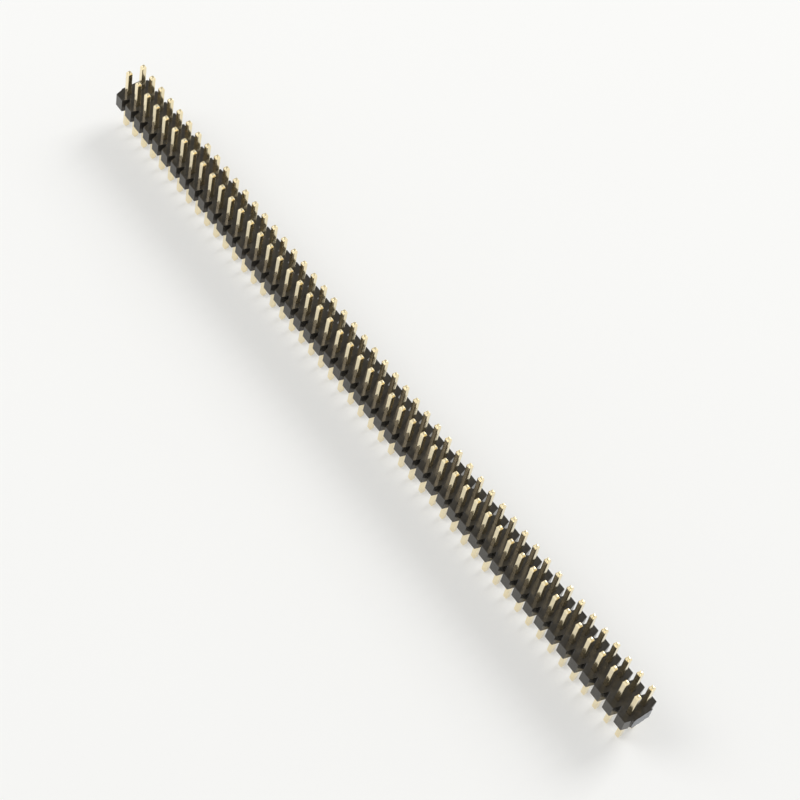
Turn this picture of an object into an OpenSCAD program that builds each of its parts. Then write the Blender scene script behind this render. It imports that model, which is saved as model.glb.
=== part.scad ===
// A two-row board header, 50 positions long. One hundred square posts are pressed
// through one moulded strip, which has V notches down both sides so that a shorter
// length can be snapped off it.
// X runs along the strip, Y across its two rows and Z up the posts. The origin is
// in the middle of the face that sits on the board.

/* [Grid] */
// Positions along the strip, each with one post in each row
positions = 50; // [2:1:59]
// Distance from one position to the next
pitch = 1.27; // [1.1:0.01:2.54]
// Distance between the two rows of posts
row_gap = 1.27; // [0.8:0.01:1.7]

/* [Moulding] */
// Width of the strip across both rows
body_w = 2.9; // [2.4:0.05:4.5]
// Height of the strip above the board
body_h = 1.27; // [1:0.01:3]
// Width of a break notch at the side of the strip
notch_w = 0.48; // [0.2:0.02:0.6]
// Depth of a break notch from the side of the strip
notch_d = 0.62; // [0.2:0.02:0.7]
// Radius at the root of a break notch
notch_r = 0.08; // [0.02:0.01:0.1]
// Length of neck left standing past the last notch where the strip was snapped off
snap_stub = 0.07; // [0:0.01:0.2]
// Size of the pit torn out of the foot of that neck
pit_w = 0.22; // [0.05:0.01:0.3]
// Height of that pit
pit_h = 0.28; // [0.1:0.01:0.6]

/* [Posts] */
// Thickness of the square wire
post_sq = 0.4; // [0.3:0.01:0.46]
// Length of the mating end above the strip
mate_len = 2.54; // [1.5:0.01:6]
// Length of the tail below the strip
tail_len = 2.54; // [1:0.01:4]
// Width of the flat on the end of a post
tip_sq = 0.23; // [0.1:0.01:0.28]
// Length of the taper at the end of a post
tip_len = 0.17; // [0.05:0.01:0.4]

/* [Press fit] */
// Gap between a post and each wall of its hole, away from its pressed barbs
hole_gap = 0.02; // [0.01:0.005:0.05]
// Length of the barbs that hold a post in its hole
barb_len = 0.5; // [0.3:0.01:0.7]
// Length of the slope at each end of a barb
barb_slope = 0.1; // [0.02:0.01:0.14]
// Depth of the funnel round each hole in the underside
lead_d = 0.12; // [0.05:0.01:0.14]
// Amount that the funnel opens on each side of the hole
lead_w = 0.1; // [0.02:0.01:0.12]

/* [Hidden] */
strip_len = positions * pitch;
strip_end = strip_len / 2;
hole_sq = post_sq + 2 * hole_gap;
tail_z = -tail_len;
head_z = body_h + mate_len;
barb_low = (body_h - barb_len) / 2;
barb_high = (body_h + barb_len) / 2;
root_y = body_w / 2 - notch_d;
overshoot = 0.5;
moulding_colour = "#2f2e2b";
plating_colour = "#e2c489";

function post_x(i) = (i - (positions + 1) / 2) * pitch;
function two_figures(i) = i < 10 ? str("0", i) : str(i);
function pair_name(i) = str("contact_pair_", two_figures(i));

// Carries a profile drawn as [across, up] along Y, or along X
module run_along_y(length) rotate([90, 0, 0]) linear_extrude(length, center = true) children();
module run_along_x(length) rotate([90, 0, 90]) linear_extrude(length, center = true) children();

// Puts its children on every post of both rows
module each_post() {
    for (i = [1:positions], side = [-1, 1])
        translate([post_x(i), side * row_gap / 2]) children();
}

// One V whose walls run from the edges of its mouth onto a round root, which lies
// notch_d inside the strip's side. Both walls are drawn on past that side.
module break_notch() {
    half = notch_w / 2;
    middle_y = notch_r - notch_d;
    lean = atan2(-middle_y, half) - acos(notch_r / norm([half, middle_y]));
    wall = [notch_r * cos(lean), middle_y + notch_r * sin(lean)];
    mouth = [half, 0] + overshoot * ([half, 0] - wall);
    polygon([wall, mouth, [-mouth.x, mouth.y], [-wall.x, wall.y]]);
    translate([0, middle_y]) circle(notch_r, $fn = 32);
}

// Plan of the strip: a bar with a notch between each two positions and at its ends
module strip_plan() {
    difference() {
        translate([-strip_end, -body_w / 2]) square([strip_len + snap_stub, body_w]);
        for (k = [0:positions], turn = [0, 180])
            rotate(turn) translate([k * pitch - strip_end, body_w / 2]) break_notch();
    }
}

// Width of a hole's funnel at height z over the underside
function funnel_w(z) = hole_sq + 2 * lead_w * (1 - z / lead_d);

module funnel_profile() {
    low = -lead_d * overshoot;
    high = lead_d * (1 + overshoot);
    polygon([[-funnel_w(low) / 2, low], [funnel_w(low) / 2, low],
             [funnel_w(high) / 2, high], [-funnel_w(high) / 2, high]]);
}

// Square funnels that guide the posts in: grooves along the rows crossed with
// grooves across them leave one funnel at each hole
module lead_ins() {
    intersection() {
        for (side = [-1, 1])
            translate([0, side * row_gap / 2, 0]) run_along_x(strip_len) funnel_profile();
        for (i = [1:positions])
            translate([post_x(i), 0, 0]) run_along_y(body_w) funnel_profile();
    }
}

// Pit torn out of the root of the last notch, at the foot of the snapped neck
module snap_pit() {
    translate([strip_end, -root_y, -overshoot])
        rotate(45) translate([-pit_w / 2, -pit_w / 2]) cube([pit_w, pit_w, pit_h + overshoot]);
}

module housing() {
    color(moulding_colour) difference() {
        linear_extrude(body_h) difference() {
            strip_plan();
            each_post() square(hole_sq, center = true);
        }
        lead_ins();
        snap_pit();
    }
}

// Right half of a post's outline from its tail to its head, with or without barbs
// that swell to the width of the hole
function post_edge(barbed) = concat(
    [[tip_sq / 2, tail_z], [post_sq / 2, tail_z + tip_len]],
    !barbed ? [] : [[post_sq / 2, barb_low], [hole_sq / 2, barb_low + barb_slope],
                    [hole_sq / 2, barb_high - barb_slope], [post_sq / 2, barb_high]],
    [[post_sq / 2, head_z - tip_len], [tip_sq / 2, head_z]]);

module post_profile(barbed) {
    edge = post_edge(barbed);
    polygon(concat(edge, [for (i = [len(edge) - 1:-1:0]) [-edge[i].x, edge[i].y]]));
}

// Square wire with four-sided tapers on both ends, and barbs on two of its sides
module post() {
    intersection() {
        run_along_y(2 * hole_sq) post_profile(true);
        run_along_x(2 * hole_sq) post_profile(false);
    }
}

// The front and the rear post of position i
module contact_pair(i) {
    color(plating_colour)
        for (side = [-1, 1])
            translate([post_x(i), side * row_gap / 2, 0]) post();
}

housing();
for (i = [1:positions])
    contact_pair(i);
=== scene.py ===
"""A two-row board header: its moulded strip, its plated posts and the pale table under them."""

import math

import bmesh
import bpy
import numpy as np
from mathutils import Euler, Matrix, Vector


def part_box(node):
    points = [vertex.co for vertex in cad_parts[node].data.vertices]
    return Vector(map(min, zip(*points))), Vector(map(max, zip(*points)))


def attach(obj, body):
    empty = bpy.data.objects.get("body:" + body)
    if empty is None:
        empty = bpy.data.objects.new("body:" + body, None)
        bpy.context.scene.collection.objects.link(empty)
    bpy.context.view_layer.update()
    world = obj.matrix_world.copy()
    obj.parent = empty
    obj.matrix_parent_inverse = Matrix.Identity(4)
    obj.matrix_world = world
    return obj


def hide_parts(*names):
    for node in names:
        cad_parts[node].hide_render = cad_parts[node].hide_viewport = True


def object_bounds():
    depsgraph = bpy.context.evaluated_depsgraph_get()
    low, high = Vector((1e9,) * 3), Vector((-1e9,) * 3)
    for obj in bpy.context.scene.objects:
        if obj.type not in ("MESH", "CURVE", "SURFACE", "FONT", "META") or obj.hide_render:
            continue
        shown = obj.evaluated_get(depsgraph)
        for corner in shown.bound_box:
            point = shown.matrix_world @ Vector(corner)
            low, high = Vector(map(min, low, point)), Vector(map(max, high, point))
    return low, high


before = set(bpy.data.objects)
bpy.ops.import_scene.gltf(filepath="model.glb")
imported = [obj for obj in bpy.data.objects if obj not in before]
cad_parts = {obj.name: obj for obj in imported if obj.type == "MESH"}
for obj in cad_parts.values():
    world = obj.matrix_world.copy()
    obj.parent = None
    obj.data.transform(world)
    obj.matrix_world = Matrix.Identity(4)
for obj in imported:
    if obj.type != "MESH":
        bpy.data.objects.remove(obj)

bl_info = {
    "name": "Double-row Board Header",
    "version": (1, 0, 0),
    "blender": (4, 5, 0),
    "location": "3D View > Sidebar > Header",
    "description": "Builds the strip, the posts and the stage of a two-row board header",
    "category": "Object",
}

MM = 0.001
SIDE = 6  # lines each way in the plan grid of one position
GRID = SIDE * SIDE
ROOT_STEPS = 4  # straight pieces in each half of the arc at the root of a notch
TORN_GRID = (37, 17)  # points across and up the torn face
SHARP = math.radians(35)  # edges that turn more than this are rounded
HAIR = 0.01  # millimetres to spare where points are told apart by their place
CAD_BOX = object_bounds()
PAIRS = sorted(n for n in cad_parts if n.startswith("contact_pair"))


# ---------------------------------------------------------------- sizes from the CAD


def box_mm(node):
    """Lowest and highest corner of a CAD node, in millimetres."""
    low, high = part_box(node)
    return np.array(low) / MM, np.array(high) / MM


def grid_of_posts():
    """Middle of each position along the strip, and the pitch, in millimetres."""
    middles = np.array([sum(box_mm(n))[0] / 2 for n in PAIRS])
    return middles, (middles[-1] - middles[0]) / (len(middles) - 1)


# ---------------------------------------------------------------- colours and nodes


def linear(code):
    """A six-figure sRGB hex colour as linear light, with an alpha of 1."""
    srgb = np.array([int(code[i : i + 2], 16) for i in (1, 3, 5)]) / 255
    light = np.where(srgb <= 0.04045, srgb / 12.92, ((srgb + 0.055) / 1.055) ** 2.4)
    return (*light.tolist(), 1.0)


def shade(colour, share):
    """A stored linear colour, made lighter or darker, with an alpha of 1."""
    return (*[channel * share for channel in colour], 1.0)


def per_mm(size):
    """The scale that gives a texture features of this size in millimetres."""
    return 1 / (size * MM)


def add(tree, kind, sockets=None, **settings):
    """Adds one node. Settings are its own; a socket takes a value, a node or an output."""
    node = tree.nodes.new(kind)
    for name, value in settings.items():
        setattr(node, name, value)
    for name, value in (sockets or {}).items():
        if isinstance(value, bpy.types.Node):
            value = value.outputs[0]
        if isinstance(value, bpy.types.NodeSocket):
            tree.links.new(value, node.inputs[name])
        else:
            node.inputs[name].default_value = value
    return node


def new_material(name):
    """A material with an empty node tree, as (material, tree, Object coordinates)."""
    material = bpy.data.materials.new(name)
    material.use_nodes = True
    tree = material.node_tree
    tree.nodes.clear()
    return material, tree, add(tree, "ShaderNodeTexCoord").outputs["Object"]


# ---------------------------------------------------------------- materials


def glass_filled_plastic(settings):
    """Black glass-filled thermoplastic, as it leaves an injection mould."""
    material, tree, where = new_material("glass_filled_plastic_injection_moulded")
    # Faint clouds where the fibres lie nearer to the skin give the black its depth
    clouds = add(
        tree, "ShaderNodeTexNoise", {"Vector": where, "Scale": per_mm(0.9), "Detail": 3.0}
    )
    body = add(
        tree, "ShaderNodeMix",
        {
            "Factor": add(
                tree, "ShaderNodeMapRange", {"Value": clouds, "From Min": 0.35, "From Max": 0.7}
            ),
            "A": shade(settings.plastic_colour, 0.8),
            "B": shade(settings.plastic_colour, 1.25),
        },
        data_type="RGBA",
    )
    # Specks of lint and cut plastic catch the light here and there on the black
    specks = add(tree, "ShaderNodeTexVoronoi", {"Vector": where, "Scale": per_mm(1.1)})
    near = add(
        tree, "ShaderNodeMapRange",
        {"Value": specks, "From Min": 0.018, "From Max": 0.03, "To Min": 1.0, "To Max": 0.0},
    )
    colour = add(
        tree, "ShaderNodeMix",
        {"Factor": near, "A": body.outputs["Result"], "B": shade(settings.lint_colour, 1)},
        data_type="RGBA",
    )
    # The gloss changes along the flow of the melt, so highlights break up softly
    along = add(tree, "ShaderNodeMapping", {"Vector": where, "Scale": (0.35, 1, 1)})
    flow = add(
        tree, "ShaderNodeTexNoise", {"Vector": along, "Scale": per_mm(0.25), "Detail": 3.0}
    )
    rough = add(
        tree, "ShaderNodeMapRange",
        {
            "Value": flow,
            "From Min": 0.3,
            "From Max": 0.75,
            "To Min": settings.plastic_roughness - 0.04,
            "To Max": settings.plastic_roughness + 0.08,
        },
    )
    # Fine grain from the spark-eroded tool, over a slight sink between the posts
    sink = add(
        tree, "ShaderNodeBump",
        {
            "Height": add(tree, "ShaderNodeTexNoise", {"Vector": where, "Scale": per_mm(1.3)}),
            "Distance": 0.006 * MM,
        },
    )
    grain = add(
        tree, "ShaderNodeBump",
        {
            "Height": add(tree, "ShaderNodeTexNoise", {"Vector": where, "Scale": per_mm(0.035)}),
            "Distance": 0.0004 * MM,
            "Normal": sink,
        },
    )
    # The skin's reflections get a painted warm tint, a little less blue than red, standing in for
    # warm surroundings, so the black looks warm
    shader = add(
        tree, "ShaderNodeBsdfPrincipled",
        {
            "Base Color": colour.outputs["Result"],
            "Roughness": rough,
            "Normal": grain,
            "Specular Tint": shade(settings.painted_reflection_tint, 1),
        },
    )
    add(tree, "ShaderNodeOutputMaterial", {"Surface": shader})
    return material


def snapped_plastic(settings):
    """The same plastic where a neck was bent until it broke: pale, rough and torn."""
    material, tree, where = new_material("glass_filled_plastic_snapped")
    tears = add(
        tree, "ShaderNodeTexNoise",
        {"Vector": where, "Scale": per_mm(0.12), "Detail": 4.0, "Roughness": 0.65},
    )
    # Stress whitening is drawn on the drawn-out ridges, and the hollows between them are painted
    # darker, painted shade in the recesses of the relief below
    colour = add(
        tree, "ShaderNodeMix",
        {
            "Factor": add(
                tree, "ShaderNodeMapRange", {"Value": tears, "From Min": 0.3, "From Max": 0.7}
            ),
            "A": shade(settings.snapped_colour, 0.45),
            "B": shade(settings.snapped_colour, 1),
        },
        data_type="RGBA",
    )
    # Pulled fibres leave a crumbly relief that scatters the light
    crumbs = add(tree, "ShaderNodeBump", {"Height": tears, "Distance": 0.03 * MM})
    shader = add(
        tree, "ShaderNodeBsdfPrincipled",
        {"Base Color": colour.outputs["Result"], "Roughness": 0.55, "Normal": crumbs},
    )
    add(tree, "ShaderNodeOutputMaterial", {"Surface": shader})
    return material


def gold_plated_wire(settings):
    """Square copper-alloy wire, gold plated over nickel after it was drawn and cut."""
    material, tree, where = new_material("copper_alloy_wire_gold_plated")
    # Thicker and thinner plating, post by post, warms and cools the yellow
    plating = add(tree, "ShaderNodeTexNoise", {"Vector": where, "Scale": per_mm(1.6)})
    colour = add(
        tree, "ShaderNodeMix",
        {
            "Factor": add(
                tree, "ShaderNodeMapRange", {"Value": plating, "From Min": 0.35, "From Max": 0.65}
            ),
            "A": shade(settings.gold_colour, 0.93),
            "B": shade(settings.gold_colour, 1),
        },
        data_type="RGBA",
    )
    # Handling marks leave some stretches of the bright plating a little dull
    tall = add(tree, "ShaderNodeMapping", {"Vector": where, "Scale": (1, 1, 0.4)})
    marks = add(
        tree, "ShaderNodeTexNoise",
        {"Vector": tall, "Scale": per_mm(0.12), "Detail": 3.0, "Roughness": 0.6},
    )
    rough = add(
        tree, "ShaderNodeMapRange",
        {
            "Value": marks,
            "From Min": 0.35,
            "From Max": 0.75,
            "To Min": settings.gold_roughness,
            "To Max": settings.gold_roughness + 0.08,
        },
    )
    # The sheared ends, the last 0.03 mm of the wire, are duller than its drawn sides and
    # gather light from further round
    low, high = CAD_BOX[0][2], CAD_BOX[1][2]
    height = add(tree, "ShaderNodeSeparateXYZ", {"Vector": where}).outputs["Z"]
    above = add(
        tree, "ShaderNodeMath", {0: height, 1: (low + high) / 2}, operation="SUBTRACT"
    )
    sheared = add(
        tree, "ShaderNodeMapRange",
        {
            "Value": add(tree, "ShaderNodeMath", {0: above}, operation="ABSOLUTE"),
            "From Min": (high - low) / 2 - 0.03 * MM,
            "From Max": (high - low) / 2 - 0.01 * MM,
            "To Min": 0.0,
            "To Max": settings.sheared_roughness,
        },
    )
    rough = add(tree, "ShaderNodeMath", {0: rough, 1: sheared}, operation="MAXIMUM")
    # Slow waves in the wire make reflections wander
    waves = add(
        tree, "ShaderNodeBump",
        {
            "Height": add(tree, "ShaderNodeTexNoise", {"Vector": where, "Scale": per_mm(0.7)}),
            "Distance": settings.gold_wave,
        },
    )
    # Lines from the drawing die, drawn coarser than the real ones so that they show
    lengthwise = add(tree, "ShaderNodeMapping", {"Vector": where, "Scale": (1, 1, 0.06)})
    lines = add(
        tree, "ShaderNodeBump",
        {
            "Height": add(
                tree, "ShaderNodeTexNoise", {"Vector": lengthwise, "Scale": per_mm(0.04)}
            ),
            "Distance": 0.00025 * MM,
            "Normal": waves,
        },
    )
    # The sealing film over the plating pales it where it is seen at a slant
    shader = add(
        tree, "ShaderNodeBsdfPrincipled",
        {
            "Base Color": colour.outputs["Result"],
            "Metallic": 1.0,
            "Roughness": rough,
            "Normal": lines,
            "Coat Weight": 1.0,
            "Coat Roughness": 0.08,
            "Coat IOR": 2.4,
        },
    )
    add(tree, "ShaderNodeOutputMaterial", {"Surface": shader})
    return material


def pale_table(settings):
    """Matt white laminate under the part."""
    material, tree, where = new_material("matt_laminate_table")
    # A hint of mottle keeps the surface from looking like empty space
    mottle = add(tree, "ShaderNodeTexNoise", {"Vector": where, "Scale": per_mm(40.0)})
    colour = add(
        tree, "ShaderNodeMix",
        {
            "Factor": add(
                tree, "ShaderNodeMapRange", {"Value": mottle, "From Min": 0.3, "From Max": 0.7}
            ),
            "A": shade(settings.table_colour, 0.992),
            "B": shade(settings.table_colour, 1),
        },
        data_type="RGBA",
    )
    laminate = add(
        tree, "ShaderNodeBsdfPrincipled",
        {
            "Base Color": colour.outputs["Result"],
            "Roughness": 0.9,
            "Specular IOR Level": 0.15,
        },
    )
    # From a quarter of the fade's distance on, the table goes over into the white of the
    # room, so it ends without a line
    away = {
        "Value": add(
            tree, "ShaderNodeVectorMath", {0: where}, operation="LENGTH"
        ).outputs["Value"],
        "From Min": settings.table_fade * 0.25,
        "From Max": settings.table_fade,
    }
    level = add(
        tree, "ShaderNodeMapRange",
        {**away, "To Min": 1.0, "To Max": settings.wall_light / max(settings.table_colour)},
    )
    # The camera, and what mirrors the table, see part of its white without any shadow
    shown = add(
        tree, "ShaderNodeMapRange", {**away, "To Min": settings.table_white, "To Max": 1.0}
    )
    white = add(
        tree, "ShaderNodeEmission", {"Color": colour.outputs["Result"], "Strength": level}
    )
    path = add(tree, "ShaderNodeLightPath")
    seen = add(
        tree, "ShaderNodeMath",
        {
            0: add(
                tree, "ShaderNodeMath",
                {0: path.outputs["Is Camera Ray"], 1: path.outputs["Is Glossy Ray"]},
                operation="MAXIMUM",
            ),
            1: path.outputs["Is Transmission Ray"],
        },
        operation="MAXIMUM",
    )
    share = add(tree, "ShaderNodeMath", {0: seen, 1: shown}, operation="MULTIPLY")
    table = add(tree, "ShaderNodeMixShader", {"Fac": share, 1: laminate, 2: white})
    add(tree, "ShaderNodeOutputMaterial", {"Surface": table})
    return material


# ---------------------------------------------------------------- shapes
#
# Until finish_piece all lengths are millimetres, and s is a dictionary of named sizes


def values_of(elements, name, kind=float):
    """One property of all of a mesh's points, faces or corners, as an array."""
    size = np.size(getattr(elements[0], name))
    values = np.zeros(len(elements) * size, kind)
    elements.foreach_get(name, values)
    return values.reshape(len(elements), size) if size > 1 else values


def mesh_from(name, points, faces):
    """A mesh from a point array and lists of corner numbers, its normals turned outwards."""
    mesh = bpy.data.meshes.new(name)
    mesh.from_pydata(points.tolist(), [], faces)
    work = bmesh.new()
    work.from_mesh(mesh)
    bmesh.ops.remove_doubles(work, verts=work.verts, dist=1e-4)
    loose = [v for v in work.verts if not v.link_faces]
    bmesh.ops.delete(work, geom=loose, context="VERTS")
    bmesh.ops.recalc_face_normals(work, faces=work.faces)
    work.to_mesh(mesh)
    work.free()
    return mesh


def ring_faces(rings, corners):
    """Quads between neighbouring rings of a closed section, as an array."""
    ring, corner = np.meshgrid(np.arange(rings - 1), np.arange(corners), indexing="ij")
    low, high = ring * corners, (ring + 1) * corners
    after = (corner + 1) % corners
    quads = np.stack([low + corner, low + after, high + after, high + corner], -1)
    return quads.reshape(-1, 4)


def notch_wall(s, steps):
    """One wall of a notch, as points [distance from the notch's middle, y], root first.

    A point at angle a of the round root is (r cos a, root + r + r sin a). It starts at the
    bottom, a = -90 degrees, and stops where the straight wall from the edge of the mouth
    touches the circle: at the angle of the line from its centre to that edge, less the
    angle whose cosine is r over the length of that line.
    """
    r, centre = s["notch_round"], s["root"] + s["notch_round"]
    reach = s["half_width"] - centre
    lean = math.atan2(reach, s["notch_half"]) - math.acos(r / math.hypot(reach, s["notch_half"]))
    a = np.linspace(-math.pi / 2, lean, steps + 1)
    return np.stack([r * np.cos(a), centre + r * np.sin(a)], -1)


def plan_of_cells(middles, pitch, s, hole_half, wall):
    """Plan points of every position, as an array [position, point, xy].

    The first GRID of them are SIDE columns by SIDE rows. Columns stand at the necks, the
    mouths of the notches and the sides of the holes, and rows at the sides of the strip
    and of the holes. At the necks, rows 1 and 4 stand at the roots of the notches. Then
    come the four notch walls, from low y and low x round anticlockwise.
    """
    neck, mouth, gap = pitch / 2, pitch / 2 - s["notch_half"], s["row_gap"] / 2
    across = np.array([-neck, -mouth, -hole_half, hole_half, mouth, neck])
    side = s["half_width"]
    along = np.array(
        [-side, -gap - hole_half, hole_half - gap, gap - hole_half, gap + hole_half, side]
    )
    grid = np.stack(np.meshgrid(across, along, indexing="ij"), -1)
    grid[[0, -1], 1, 1] = -s["root"]
    grid[[0, -1], 4, 1] = s["root"]
    walls = [
        np.stack([right * (neck - line[:, 0]), rear * line[:, 1]], -1)
        for line, right, rear in (
            (wall, -1, -1), (wall[::-1], 1, -1), (wall, 1, 1), (wall[::-1], -1, 1)
        )
    ]
    cell = np.concatenate([grid.reshape(-1, 2), *walls])
    return cell + np.stack([middles, np.zeros(len(middles))], -1)[:, None]


def cell_faces(count):
    """Faces of one position: top, underside, sides, holes and funnels.

    The points of a level are those of plan_of_cells, with count points on each notch wall.
    The underside is level 0, the tops of the funnels are level 1 and the top of the strip
    is level 2. A loop names its points (column, row), each counted from 0 to SIDE - 1.
    """
    bends = {
        root: range(GRID + k * count, GRID + (k + 1) * count)
        for k, root in enumerate([(0, 1), (5, 1), (5, 4), (0, 4)])
    }
    ends = {
        (0, 0): bends[0, 1][-1],
        (5, 0): bends[5, 1][0],
        (5, 5): bends[5, 4][-1],
        (0, 5): bends[0, 4][0],
    }

    def numbers(loop, level):
        """Point numbers of a loop on a level.

        A notch wall stands in for its root, unless the loop has that notch's corner. Then
        the outer end of the wall stands in for both.
        """
        plan = []
        for p in loop:
            if p in ends:
                plan.append(ends[p])
            elif p in bends:
                plan += [] if any(q in ends for q in loop) else bends[p]
            else:
                plan.append(p[0] * SIDE + p[1])
        return [level * (GRID + 4 * count) + number for number in plan]

    def stand(loop, low, high):
        """Quads from one level to another along a loop."""
        feet, heads = numbers(loop, low), numbers(loop, high)
        return [[*feet[i : i + 2], *heads[i : i + 2][::-1]] for i in range(len(feet) - 1)]

    faces = []
    for column in range(SIDE - 1):
        for row in range(SIDE - 1):
            loop = [(column, row), (column + 1, row), (column + 1, row + 1), (column, row + 1)]
            if column == 2 and row in (1, 3):  # a hole, with its funnel below
                faces += stand(loop + loop[:1], 0, 1) + stand(loop + loop[:1], 1, 2)
            else:
                faces += [numbers(loop, 0), numbers(loop, 2)]
    front = [(0, 1), (1, 0), (2, 0), (3, 0), (4, 0), (5, 1)]
    rear = [(5, 4), (4, 5), (3, 5), (2, 5), (1, 5), (0, 4)]
    return faces + stand(front, 0, 2) + stand(rear, 0, 2)


def torn_face(s, x_neck):
    """The broken end of the neck: a grid whose x wanders between the root and the tear.

    A point's x past the root is the length of the stub times 0.72 plus 0.28 of a sum of
    sines of its place on the face, scaled to lie between -1 and 1. Its y follows the round
    roots of the two notches at that x, root + r - sqrt(r^2 - x^2), so the rim of the face
    lies on them. There x counts up to 0.96 r at most, short of where the arc ends.
    """
    columns, rows = TORN_GRID
    across, up = np.meshgrid(
        np.linspace(-1, 1, columns), np.linspace(0, 1, rows), indexing="ij"
    )
    waves = (
        np.sin(7.1 * across + 2.3 * up + 0.4)
        + 0.7 * np.sin(13.7 * across - 6.1 * up + 1.9)
        + 0.5 * np.sin(23.3 * across + 11.9 * up + 4.2)
        + 0.4 * np.sin(5.3 * up - 9.2 * across)
    )
    relief = 0.72 + 0.28 * waves / np.abs(waves).max()
    x = s["stub"] * relief
    r = s["notch_round"]
    y = across * (s["root"] + r - np.sqrt(r**2 - np.minimum(x, 0.96 * r) ** 2))
    return np.stack([x_neck + x, y, s["height"] * up], -1)


def strip_solid(s, middles, pitch):
    """The whole sharp-edged strip, in millimetres: positions side by side, then the ends."""
    # Each level's height, and half the width of a hole there
    levels = [
        (0.0, s["hole"] / 2 + s["funnel_width"]),
        (s["funnel_depth"], s["hole"] / 2),
        (s["height"], s["hole"] / 2),
    ]
    cells, wall = len(middles), notch_wall(s, ROOT_STEPS)
    size = GRID + 4 * len(wall)
    top = (len(levels) - 1) * size
    points = np.zeros((cells, len(levels), size, 3))
    for number, (z, hole_half) in enumerate(levels):
        points[:, number, :, :2] = plan_of_cells(middles, pitch, s, hole_half, wall)
        points[:, number, :, 2] = z
    flat = points.reshape(-1, 3)
    starts = np.arange(cells) * len(levels) * size
    faces = [[int(start) + v for v in face] for start in starts for face in cell_faces(len(wall))]
    # The far end is the flat neck of the first position
    for row in (1, 2, 3):
        faces.append([row, row + 1, top + row + 1, top + row])
    # The near end carries the torn stub
    torn = torn_face(s, middles[-1] + pitch / 2)
    number = len(flat) + np.arange(torn[..., 0].size).reshape(TORN_GRID)
    last = int(starts[-1]) + (SIDE - 1) * SIDE
    quads = np.stack([number[:-1, :-1], number[1:, :-1], number[1:, 1:], number[:-1, 1:]], -1)
    faces += quads.reshape(-1, 4).tolist()
    for level, row in ((0, 0), (top, -1)):
        faces.append([last + level + r for r in (1, 2, 3, 4)] + number[::-1, row].tolist())
    for row, column in ((1, 0), (4, -1)):
        foot, rim = last + row, number[column].tolist()
        faces += [[foot, a, b] for a, b in zip(rim, rim[1:])] + [[foot, rim[-1], foot + top]]
    return mesh_from("strip_sharp", np.concatenate([flat, torn.reshape(-1, 3)]), faces)


def square_prism(middle, side, low, high):
    """An upright square prism whose corners point along the axes."""
    reach = side / math.sqrt(2)
    plan = np.array([[1, 0], [0, 1], [-1, 0], [0, -1]]) * reach + np.array(middle)
    points = np.concatenate([np.c_[plan, np.full(4, z)] for z in (low, high)])
    faces = [[3, 2, 1, 0], [4, 5, 6, 7]] + ring_faces(2, 4).tolist()
    return mesh_from("pit_cutter", points, faces)


def cut_away(mesh, cutter):
    """The mesh less the cutter, as a new mesh."""
    body = bpy.data.objects.new("cut_body", mesh)
    tool = bpy.data.objects.new("cut_tool", cutter)
    for o in (body, tool):
        bpy.context.scene.collection.objects.link(o)
    cut = body.modifiers.new("cut", "BOOLEAN")
    cut.object, cut.operation, cut.solver = tool, "DIFFERENCE", "EXACT"
    graph = bpy.context.evaluated_depsgraph_get()
    result = bpy.data.meshes.new_from_object(body.evaluated_get(graph))
    for o in (body, tool):
        bpy.data.objects.remove(o)
    return result


def soften_edges(mesh, radius, x_torn, by_a_hole):
    """Rounds the strip's sharp edges, apart from those of its holes and of the torn face."""
    points = values_of(mesh.vertices, "co")
    left = by_a_hole(points) | (points[:, 0] > x_torn)
    work = bmesh.new()
    work.from_mesh(mesh)
    edges = [
        edge
        for edge in work.edges
        if edge.calc_face_angle(0) > SHARP and not any(left[v.index] for v in edge.verts)
    ]
    bmesh.ops.bevel(
        work, geom=edges, offset=radius, segments=2, profile=0.5, affect="EDGES",
        clamp_overlap=False,
    )
    work.to_mesh(mesh)
    work.free()


def rounded_path(corners, radius, steps):
    """A path of [z, half x, half y] points whose inner corners are rounded.

    Each corner gives way to a curve from a point before it to a point after it, both
    radius away: q(t) = (1 - t)^2 a + 2 t (1 - t) corner + t^2 b.
    """
    corners = np.asarray(corners, float)
    back, middle, on = corners[:-2], corners[1:-1], corners[2:]
    before, after = back - middle, on - middle
    lengths = [np.linalg.norm(d, axis=1, keepdims=True) for d in (before, after)]
    a = middle + before / lengths[0] * np.minimum(radius, lengths[0] / 3)
    b = middle + after / lengths[1] * np.minimum(radius, lengths[1] / 3)
    t = np.linspace(0, 1, steps)[None, :, None]
    curve = (1 - t) ** 2 * a[:, None] + 2 * t * (1 - t) * middle[:, None] + t**2 * b[:, None]
    return np.concatenate([corners[:1], curve.reshape(-1, 3), corners[-1:]])


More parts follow.
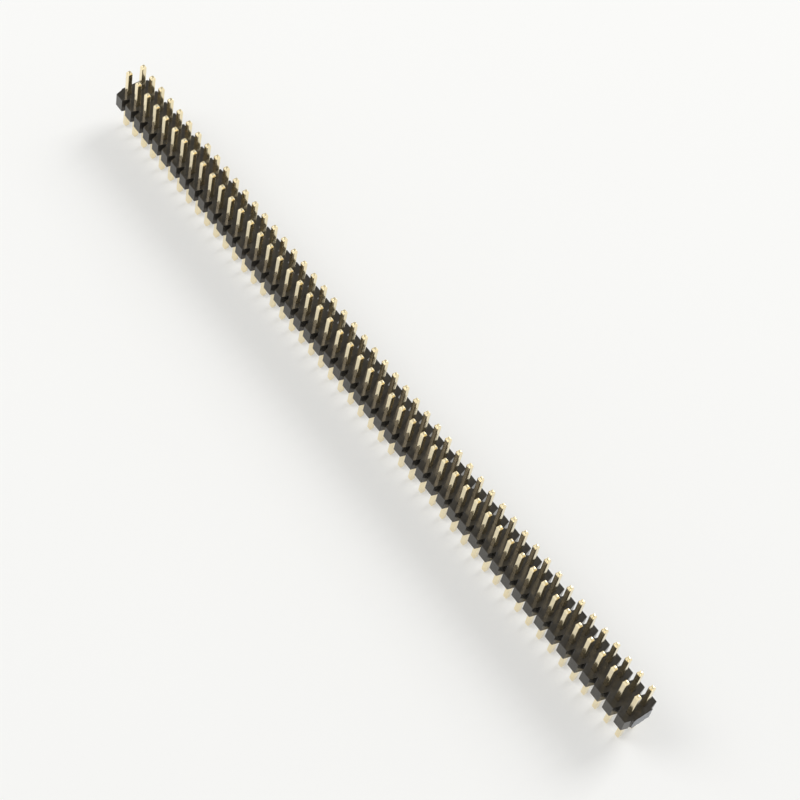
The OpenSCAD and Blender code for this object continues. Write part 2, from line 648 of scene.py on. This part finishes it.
def post_surface(s, low, high, strip_height):
    """One post on the Z axis, in millimetres, as rings of a rounded square section.

    The path gives the height and the two half widths of each ring: a crowned tip, flat
    over the middle 0.3 of its width, the taper, the wire, the barb in the strip, and the
    same again the other way. Round a ring, a point at angle a of a corner is
    (half width - r) along each axis, plus (r cos a, r sin a), where r is the corner's
    radius, or 0.4 of the half width where the ring is too small for it.
    """
    half, tip, barb = s["post"] / 2, s["tip"] / 2, s["hole"] / 2
    taper, dome, crown = s["taper"], s["tip_dome"], 0.3 * tip
    start, stop = (strip_height - s["barb"]) / 2, (strip_height + s["barb"]) / 2
    path = rounded_path(
        [
            [low, crown, crown],
            [low + dome, tip, tip],
            [low + taper, half, half],
            [start, half, half],
            [start + s["slope"], barb, half],
            [stop - s["slope"], barb, half],
            [stop, half, half],
            [high - taper, half, half],
            [high - dome, tip, tip],
            [high, crown, crown],
        ],
        radius=s["tip_round"],
        steps=3,
    )
    corner = np.minimum(s["corner"], path[:, 1:].min(1) * 0.4)[:, None]
    quarter = np.array([0, 30, 60, 90])
    turn = np.radians(np.arange(0, 360, 90)[:, None] + quarter).ravel()
    sign = np.repeat([[1, 1], [-1, 1], [-1, -1], [1, -1]], len(quarter), axis=0)
    x = (path[:, 1:2] - corner) * sign[:, 0] + corner * np.cos(turn)
    y = (path[:, 2:3] - corner) * sign[:, 1] + corner * np.sin(turn)
    z = np.repeat(path[:, :1], len(turn), axis=1)
    rings = np.stack([x, y, z], -1)
    count, size = rings.shape[:2]
    caps = [list(range(size))[::-1], list(range(size * (count - 1), size * count))]
    return rings.reshape(-1, 3), ring_faces(count, size).tolist() + caps


def keep_flats_flat(mesh):
    """Gives flats one normal all over, and leaves the whole turn to the round edges.

    A corner's normal is the mean of those of the faces that meet there and lean less than
    60 degrees from its own face, each weighted by the cube of its area.
    """
    corners = values_of(mesh.loops, "vertex_index", int)
    counts = values_of(mesh.polygons, "loop_total", int)
    normals = values_of(mesh.polygons, "normal")
    areas = values_of(mesh.polygons, "area")
    face = np.repeat(np.arange(len(counts)), counts)
    # One line for each corner, with the faces that meet at its point and some places to spare
    order = np.argsort(corners, kind="stable")
    meeting = np.bincount(corners, minlength=len(mesh.vertices))
    first = np.cumsum(meeting) - meeting
    slots = np.arange(meeting.max())
    taken = slots < meeting[corners][:, None]
    beside = face[order[np.minimum(first[corners][:, None] + slots, len(corners) - 1)]]
    lean = (normals[beside] * normals[face][:, None]).sum(-1)
    weight = np.where(taken & (lean > 0.5), (areas[beside] / areas.max()) ** 3, 0)
    mean = (normals[beside] * weight[..., None]).sum(1)
    mean /= np.linalg.norm(mean, axis=1, keepdims=True)
    mesh.polygons.foreach_set("use_smooth", np.ones(len(counts), bool))
    mesh.normals_split_custom_set(mean.tolist())


def finish_piece(name, mesh, *materials):
    """A shown piece that rides on the body, with flats that stay flat between round edges."""
    mesh.transform(Matrix.Scale(MM, 4))
    keep_flats_flat(mesh)
    for material in materials:
        mesh.materials.append(material)
    piece = bpy.data.objects.new(name, mesh)
    bpy.context.scene.collection.objects.link(piece)
    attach(piece, "root")
    return piece


# ---------------------------------------------------------------- settings


def distance(name, description, mm):
    """A length property whose default is given in millimetres."""
    return bpy.props.FloatProperty(
        name=name, description=description, default=mm * MM, min=0.0,
        precision=6, subtype="DISTANCE", unit="LENGTH",
    )


def paint(name, description, code):
    """A colour property whose default is an sRGB hex colour."""
    return bpy.props.FloatVectorProperty(
        name=name, description=description, default=linear(code)[:3],
        min=0.0, max=1.0, size=3, subtype="COLOR",
    )


def fraction(name, description, value, high=1.0):
    """A plain number from 0 up to a limit, such as a share or a roughness."""
    return bpy.props.FloatProperty(
        name=name, description=description, default=value, min=0.0, max=high, subtype="FACTOR"
    )


def power(name, description, watts):
    """A lamp's power property."""
    return bpy.props.FloatProperty(
        name=name, description=description, default=watts, min=0.0, unit="POWER"
    )


def place(name, description, metres):
    """A property that holds a point in the frame."""
    return bpy.props.FloatVectorProperty(
        name=name, description=description, default=metres,
        precision=6, size=3, subtype="XYZ", unit="LENGTH",
    )


class StripSettings(bpy.types.PropertyGroup):
    """The moulded strip's own sizes and finish. Its box and grid come from the CAD."""

    row_gap: distance("Row spacing", "Distance between the two rows of posts", 1.27)
    hole: distance("Hole", "Width of a post's square hole, closed up round the post", 0.408)
    notch_width: distance("Notch mouth", "Width of a break notch at the side of the strip", 0.48)
    notch_depth: distance("Notch depth", "Depth of a break notch", 0.62)
    notch_round: distance("Notch root", "Radius at the root of a break notch", 0.08)
    funnel_width: distance("Funnel width", "Amount a funnel opens on each side of a hole", 0.1)
    funnel_depth: distance("Funnel depth", "Depth of the funnel under each hole", 0.12)
    pit_width: distance("Pit width", "Width of the pit torn from the foot of the neck", 0.22)
    pit_height: distance("Pit height", "Height of that pit", 0.28)
    edge_radius: distance("Edge radius", "Radius left on the strip's edges by the mould", 0.02)
    plastic_colour: paint("Plastic", "Colour of the moulded plastic", "#33312C")
    # A painted warm tint on what the plastic mirrors, standing in for warm surroundings
    painted_reflection_tint: paint("Gloss", "Tint of what the plastic mirrors", "#FFF6EF")
    plastic_roughness: fraction("Plastic roughness", "Roughness of the moulded skin", 0.15)
    snapped_colour: paint("Snapped face", "Colour of the broken neck", "#A9ABB0")
    lint_colour: paint("Lint", "Colour of the specks of lint", "#8F8C82")


class PostSettings(bpy.types.PropertyGroup):
    """The square posts' sizes and finish. Their ends come from the CAD."""

    post: distance("Wire", "Thickness of the square wire", 0.4)
    tip: distance("Tip", "Width of the flat on the end of a post", 0.23)
    taper: distance("Taper", "Length of the taper at each end", 0.17)
    corner: distance("Corner radius", "Radius of the wire's long edges", 0.07)
    tip_dome: distance("Tip dome", "Height by which the middle of a tip stands proud", 0.005)
    tip_round: distance("Tip radius", "Rounding where the taper begins and ends", 0.045)
    barb: distance("Barb length", "Length of the barbs inside the strip", 0.5)
    slope: distance("Barb slope", "Length of the slope at each end of a barb", 0.1)
    gold_colour: paint("Gold", "Colour of the gold plating", "#FDEAB6")
    gold_roughness: fraction("Gold roughness", "Roughness of the plating", 0.12)
    sheared_roughness: fraction("Sheared roughness", "Roughness of the sheared ends", 0.3)
    gold_wave: distance("Wave", "Height of the slow waves in the wire", 0.012)


class StageSettings(bpy.types.PropertyGroup):
    """The table, the light and the camera."""

    table_colour: paint("Table", "Colour of the table", "#F5F5F3")
    table_size: distance("Table size", "Width of the table", 6000.0)
    table_white: fraction("Table white", "Share of the table that is shown without shadow", 0.4)
    table_fade: distance("Table fade", "How far away the table is as white as the room", 600.0)
    wall_light: fraction("Walls", "Strength of the light from the walls round the table", 1.0, 4.0)
    ceiling_light: fraction("Ceiling", "Strength of the light from the ceiling", 0.35, 4.0)
    back_power: power("Back power", "Power of the soft box behind the part", 1.8)
    back_size: distance("Back size", "Width of the soft box behind the part", 260.0)
    back_place: place(
        "Back place", "Where the soft box behind the part hangs", (-0.03, 0.44, 0.41)
    )
    front_power: power("Front power", "Power of the soft box at the front left", 0.88)
    front_size: distance("Front size", "Width of the soft box at the front left", 280.0)
    front_place: place(
        "Front place", "Where the soft box at the front left hangs", (-0.26, -0.24, 0.37)
    )
    camera_place: place("Camera place", "Where the camera is", (0.061827, -0.067225, 0.136847))
    camera_turn: bpy.props.FloatVectorProperty(
        name="Camera turn", description="How the camera is turned",
        default=tuple(math.radians(a) for a in (32.7112, -8.18839, 53.46752)),
        size=3, subtype="EULER", unit="ROTATION",
    )
    camera_lens: bpy.props.FloatProperty(
        name="Lens", description="Focal length on a 36 mm wide sensor, in millimetres",
        default=101.094, min=1.0, subtype="DISTANCE_CAMERA",
    )


def in_mm(settings, *names):
    """The named lengths of a settings group, in millimetres."""
    return {name: getattr(settings, name) / MM for name in names}


# ---------------------------------------------------------------- operators


class HEADER_OT_make_strip(bpy.types.Operator):
    """Moulds the notched strip with its holes, its soft edges and its snapped end"""

    bl_idname = "header.make_strip"
    bl_label = "Make Strip"

    def execute(self, context):
        chosen = context.scene.header_strip
        s = in_mm(
            chosen,
            "row_gap", "hole", "notch_depth", "notch_round", "funnel_width", "funnel_depth",
        )
        low, high = box_mm("housing")
        middles, pitch = grid_of_posts()
        x_neck = middles[-1] + pitch / 2
        s["half_width"], s["height"] = high[1], high[2]
        s["notch_half"] = chosen.notch_width / MM / 2
        s["root"] = s["half_width"] - s["notch_depth"]
        s["stub"] = high[0] - x_neck
        if s["stub"] <= 0 or abs(low[2]) > 1e-3:
            raise RuntimeError("the strip's CAD box isn't where this script expects it")
        cut = in_mm(chosen, "pit_width", "pit_height")
        # The pit opens in the underside, so its cutter starts well below it
        pit = square_prism((x_neck, -s["root"]), cut["pit_width"], -0.5, cut["pit_height"])
        mesh = cut_away(strip_solid(s, middles, pitch), pit)
        reach = s["hole"] / 2 + s["funnel_width"] + HAIR

        def by_a_hole(points):
            """Whether points lie within a funnel's reach of a post's middle, in plan."""
            along = (points[:, 0] - middles[0] + pitch / 2) % pitch - pitch / 2
            across = np.abs(points[:, 1]) - s["row_gap"] / 2
            return (np.abs(along) < reach) & (np.abs(across) < reach)

        soften_edges(mesh, chosen.edge_radius / MM, x_neck + HAIR, by_a_hole)
        strip = finish_piece(
            "moulded_strip", mesh, glass_filled_plastic(chosen), snapped_plastic(chosen)
        )
        beyond = values_of(mesh.polygons, "center")[:, 0] > (x_neck + HAIR) * MM
        endways = values_of(mesh.polygons, "normal")[:, 0] > 0.5
        mesh.polygons.foreach_set("material_index", (beyond & endways).astype(np.int32))
        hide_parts("housing")
        return {"FINISHED"}


class HEADER_OT_make_posts(bpy.types.Operator):
    """Sets a front and a rear post in every position of the strip"""

    bl_idname = "header.make_posts"
    bl_label = "Make Posts"

    def execute(self, context):
        chosen = context.scene.header_posts
        s = in_mm(
            chosen, "post", "tip", "taper", "corner", "tip_dome", "tip_round", "barb", "slope"
        )
        s["hole"] = context.scene.header_strip.hole / MM
        gap = context.scene.header_strip.row_gap / MM
        low, high = box_mm(PAIRS[0])
        points, faces = post_surface(s, low[2], high[2], box_mm("housing")[1][2])
        gold = gold_plated_wire(chosen)
        middles, _ = grid_of_posts()
        second = [[v + len(points) for v in face] for face in faces]
        for name, x in zip(PAIRS, middles):
            both = np.concatenate([points + [x, side * gap / 2, 0] for side in (-1, 1)])
            mesh = bpy.data.meshes.new(name.replace("contact", "post"))
            mesh.from_pydata(both.tolist(), [], faces + second)
            pair = finish_piece(mesh.name, mesh, gold)
            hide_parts(name)
        return {"FINISHED"}


class HEADER_OT_make_stage(bpy.types.Operator):
    """Lays the table under the tails and sets the light and the camera"""

    bl_idname = "header.make_stage"
    bl_label = "Make Stage"

    def execute(self, context):
        chosen = context.scene.header_stage
        self.lay_table(context, chosen)
        self.light(context, chosen)
        self.place_camera(context, chosen)
        context.scene.view_settings.view_transform = "Standard"
        return {"FINISHED"}

    def lay_table(self, context, chosen):
        """A wide flat table that the lowest tips stand on."""
        reach = chosen.table_size / 2
        corners = np.array([[-1, -1], [1, -1], [1, 1], [-1, 1]]) * reach
        mesh = bpy.data.meshes.new("table")
        mesh.from_pydata(np.c_[corners, np.full(4, CAD_BOX[0][2])].tolist(), [], [[0, 1, 2, 3]])
        mesh.materials.append(pale_table(chosen))
        table = bpy.data.objects.new("table", mesh)
        context.scene.collection.objects.link(table)

    def light(self, context, chosen):
        """White walls that dim towards the ceiling, and two soft boxes.

        How high a direction points is its Z, 0 level and 1 straight up. Up to 0.2 it is
        all wall, and from 0.75 it is all ceiling.
        """
        world = bpy.data.worlds.new("room")
        context.scene.world = world
        world.use_nodes = True
        tree = world.node_tree
        tree.nodes.clear()
        way = add(tree, "ShaderNodeTexCoord").outputs["Generated"]
        strength = add(
            tree, "ShaderNodeMapRange",
            {
                "Value": add(tree, "ShaderNodeSeparateXYZ", {"Vector": way}).outputs["Z"],
                "From Min": 0.2,
                "From Max": 0.75,
                "To Min": chosen.wall_light,
                "To Max": chosen.ceiling_light,
            },
            interpolation_type="SMOOTHSTEP",
        )
        sky = add(
            tree, "ShaderNodeBackground", {"Color": linear("#FFFFFF"), "Strength": strength}
        )
        add(tree, "ShaderNodeOutputWorld", {"Surface": sky})
        for name in ("back", "front"):
            lamp = bpy.data.lights.new(name, "AREA")
            lamp.energy = getattr(chosen, name + "_power")
            lamp.size = getattr(chosen, name + "_size")
            box = bpy.data.objects.new(name, lamp)
            box.location = getattr(chosen, name + "_place")
            box.rotation_euler = (-box.location).to_track_quat("-Z", "Y").to_euler()
            context.scene.collection.objects.link(box)

    def place_camera(self, context, chosen):
        """A long lens that looks down on the part from its front right."""
        lens = bpy.data.cameras.new("camera")
        lens.sensor_width, lens.lens = 36.0, chosen.camera_lens
        lens.clip_start, lens.clip_end = 0.002, 20.0
        camera = bpy.data.objects.new("camera", lens)
        camera.location = chosen.camera_place
        camera.rotation_euler = Euler(chosen.camera_turn, "XYZ")
        context.scene.collection.objects.link(camera)
        context.scene.camera = camera


class HEADER_PT_panel(bpy.types.Panel):
    """Lists the header's settings and its operators"""

    bl_idname = "HEADER_PT_panel"
    bl_label = "Board Header"
    bl_space_type = "VIEW_3D"
    bl_region_type = "UI"
    bl_category = "Header"

    def draw(self, context):
        for group, operator in STEPS:
            part = self.layout.box()
            settings = getattr(context.scene, group)
            for name in settings.__annotations__:
                part.prop(settings, name)
            part.operator(operator)


STEPS = (
    ("header_strip", "header.make_strip"),
    ("header_posts", "header.make_posts"),
    ("header_stage", "header.make_stage"),
)
GROUPS = {
    "header_strip": StripSettings,
    "header_posts": PostSettings,
    "header_stage": StageSettings,
}
CLASSES = (
    *GROUPS.values(),
    HEADER_OT_make_strip,
    HEADER_OT_make_posts,
    HEADER_OT_make_stage,
    HEADER_PT_panel,
)


def register():
    """Registers the classes and gives the scene its settings."""
    for cls in CLASSES:
        bpy.utils.register_class(cls)
    for name, group in GROUPS.items():
        setattr(bpy.types.Scene, name, bpy.props.PointerProperty(type=group))


def unregister():
    """Takes both away again."""
    for name in GROUPS:
        delattr(bpy.types.Scene, name)
    for cls in reversed(CLASSES):
        bpy.utils.unregister_class(cls)


def main():
    """Builds the part and its stage."""
    register()
    bpy.ops.header.make_strip()
    bpy.ops.header.make_posts()
    bpy.ops.header.make_stage()


if __name__ == "__main__":
    main()
